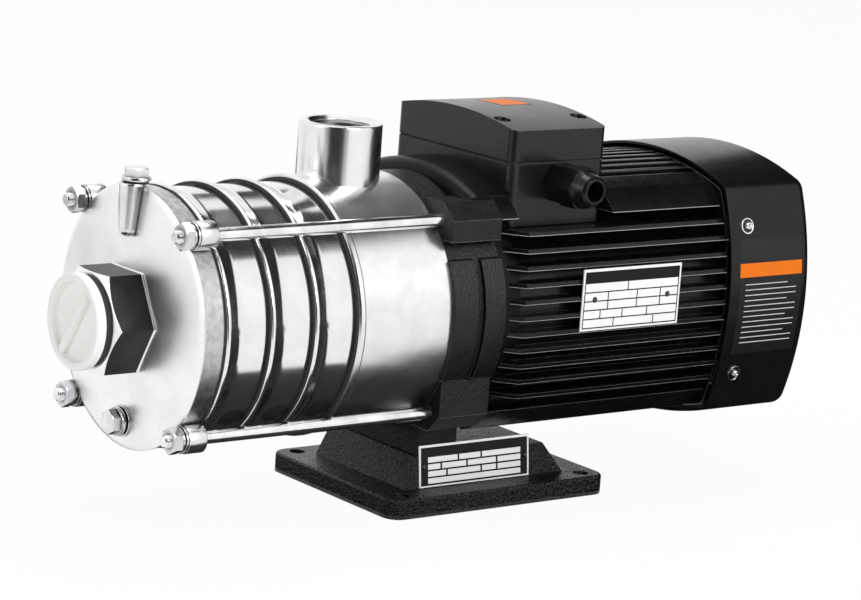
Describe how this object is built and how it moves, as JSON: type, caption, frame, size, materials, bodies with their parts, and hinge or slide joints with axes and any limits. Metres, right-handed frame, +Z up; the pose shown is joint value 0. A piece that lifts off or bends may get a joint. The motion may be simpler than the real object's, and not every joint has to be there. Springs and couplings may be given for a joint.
{
  "type": "horizontal multistage centrifugal pump",
  "caption": "Close-coupled horizontal multistage pump: stainless stages held by tie rods, finned electric motor, cast foot, terminal box and capped suction port.",
  "frame": {"origin": "centre of the foot's bolt pattern on the foot's underside", "axes": "+X along the shaft from the suction port to the motor's fan, +Z up, the cable gland on the -Y side"},
  "size_m": [0.4506, 0.1636, 0.2156],
  "materials": {
    "cast_stainless": "satin, fine-blasted casting",
    "white_plastic": "smooth, slightly translucent",
    "black_rubber": "matt moulded",
    "plug_steel": "turned",
    "polished_casing": "bright pressed sheet",
    "pressed_steel": "pressed sheet",
    "ring_plastic": "moulded",
    "blasted_casing": "fine-blasted barrel with a bright neck",
    "bright_zinc": "bright zinc plating",
    "black_casting": "black paint over a rough casting",
    "shaft_steel": "ground",
    "seal_ceramic": "lapped",
    "seal_shell": "pressed shell with a carbon face",
    "bearing_steel": "ground and polished",
    "lamination": "stacked sheet",
    "copper_winding": "varnished",
    "black_aluminium": "satin black paint",
    "fan_plastic": "moulded",
    "black_cover": "semi-gloss black",
    "grey_box": "satin dark grey",
    "block_plastic": "moulded",
    "contact_brass": "bright",
    "gland_plastic": "moulded",
    "plate_metal": "printed sheet"
  },
  "bodies": {
    "pump": {"bearing_outer_races": "bearing_steel", "box_gasket": "black_rubber", "casing_gaskets": "black_rubber", "diffuser_1": "pressed_steel", "diffuser_2": "pressed_steel", "diffuser_3": "pressed_steel", "discharge_casing": "blasted_casing", "fan_cover": "black_cover", "fan_cover_screws": "bright_zinc", "foot": "black_casting", "foot_screws": "bright_zinc", "gland_body": "gland_plastic", "gland_locknut": "gland_plastic", "gland_nut": "gland_plastic", "gland_seal": "black_rubber", "motor_bracket": "black_casting", "motor_housing": "black_aluminium", "motor_nameplate": "plate_metal", "motor_screws": "bright_zinc", "nameplate_rivets": "plate_metal", "neck_rings": "ring_plastic", "pump_nameplate": "plate_metal", "rear_end_shield": "black_aluminium", "seal_seat": "seal_ceramic", "seal_seat_cup": "black_rubber", "stage_casing_1": "polished_casing", "stage_casing_2": "polished_casing", "stage_casing_3": "polished_casing", "stator_core": "lamination", "stator_windings": "copper_winding", "suction_cover": "cast_stainless", "terminal_block": "block_plastic", "terminal_box": "grey_box", "terminal_links": "contact_brass", "terminal_studs": "contact_brass", "tie_rod_nuts": "bright_zinc", "tie_rod_spring_washers": "bright_zinc", "tie_rod_washers": "bright_zinc", "tie_rods": "bright_zinc"},
    "rotor": {"shaft": "shaft_steel", "impeller_1": "pressed_steel", "impeller_2": "pressed_steel", "impeller_3": "pressed_steel", "impeller_spacers": "pressed_steel", "impeller_nut": "shaft_steel", "rotary_seal": "seal_shell", "water_slinger": "black_rubber", "bearing_inner_races": "bearing_steel", "rotor_core": "lamination", "cooling_fan": "fan_plastic", "fan_circlip": "shaft_steel"},
    "ball_cages": {"bearing_ball_cages": "bearing_steel"},
    "cap_seal": {"transit_cap_seal": "black_rubber"},
    "cap": {"transit_cap": "white_plastic"},
    "fill_seal": {"fill_plug_seal": "black_rubber"},
    "fill": {"fill_plug": "plug_steel"},
    "drain_seal": {"drain_plug_seal": "black_rubber"},
    "drain": {"drain_plug": "plug_steel"},
    "box_lid": {"terminal_box_lid": "grey_box", "lid_screws": "bright_zinc"}
  },
  "joints": [
    {"name": "rotor_spin", "type": "hinge", "parent": "pump", "child": "rotor", "pos_m": [0, 0, 0.11], "axis": [1, 0, 0], "continuous": true},
    {"name": "ball_cages_spin", "type": "hinge", "parent": "pump", "child": "ball_cages", "pos_m": [0, 0, 0.11], "axis": [1, 0, 0], "continuous": true},
    {"name": "cap_travel", "type": "slide", "parent": "pump", "child": "cap_seal", "axis": [-1, 0, 0], "range_m": [0, 0.012]},
    {"name": "cap_turn", "type": "hinge", "parent": "cap_seal", "child": "cap", "pos_m": [0, 0, 0.11], "axis": [-1, 0, 0], "range_deg": [0, 1880]},
    {"name": "fill_plug_travel", "type": "slide", "parent": "pump", "child": "fill_seal", "axis": [0, 0, 1], "range_m": [0, 0.01]},
    {"name": "fill_plug_turn", "type": "hinge", "parent": "fill_seal", "child": "fill", "pos_m": [-0.2125, 0, 0.1816], "axis": [0, 0, 1], "range_deg": [0, 3610]},
    {"name": "drain_plug_travel", "type": "slide", "parent": "pump", "child": "drain_seal", "axis": [-1, 0, 0], "range_m": [0, 0.01]},
    {"name": "drain_plug_turn", "type": "hinge", "parent": "drain_seal", "child": "drain", "pos_m": [-0.2145, 0, 0.0545], "axis": [-1, 0, 0], "range_deg": [0, 3610]},
    {"name": "box_lid_lift", "type": "slide", "parent": "pump", "child": "box_lid", "axis": [0, 0, 1], "range_m": [0, 0.06]}
  ],
  "couplings": [
    {"joint": "ball_cages_spin", "follows": "rotor_spin", "ratio": 0.363},
    {"joint": "cap_turn", "follows": "cap_travel", "rad_per_m": 2721.1},
    {"joint": "fill_plug_turn", "follows": "fill_plug_travel", "rad_per_m": 6283.2},
    {"joint": "drain_plug_turn", "follows": "drain_plug_travel", "rad_per_m": 6283.2}
  ]
}
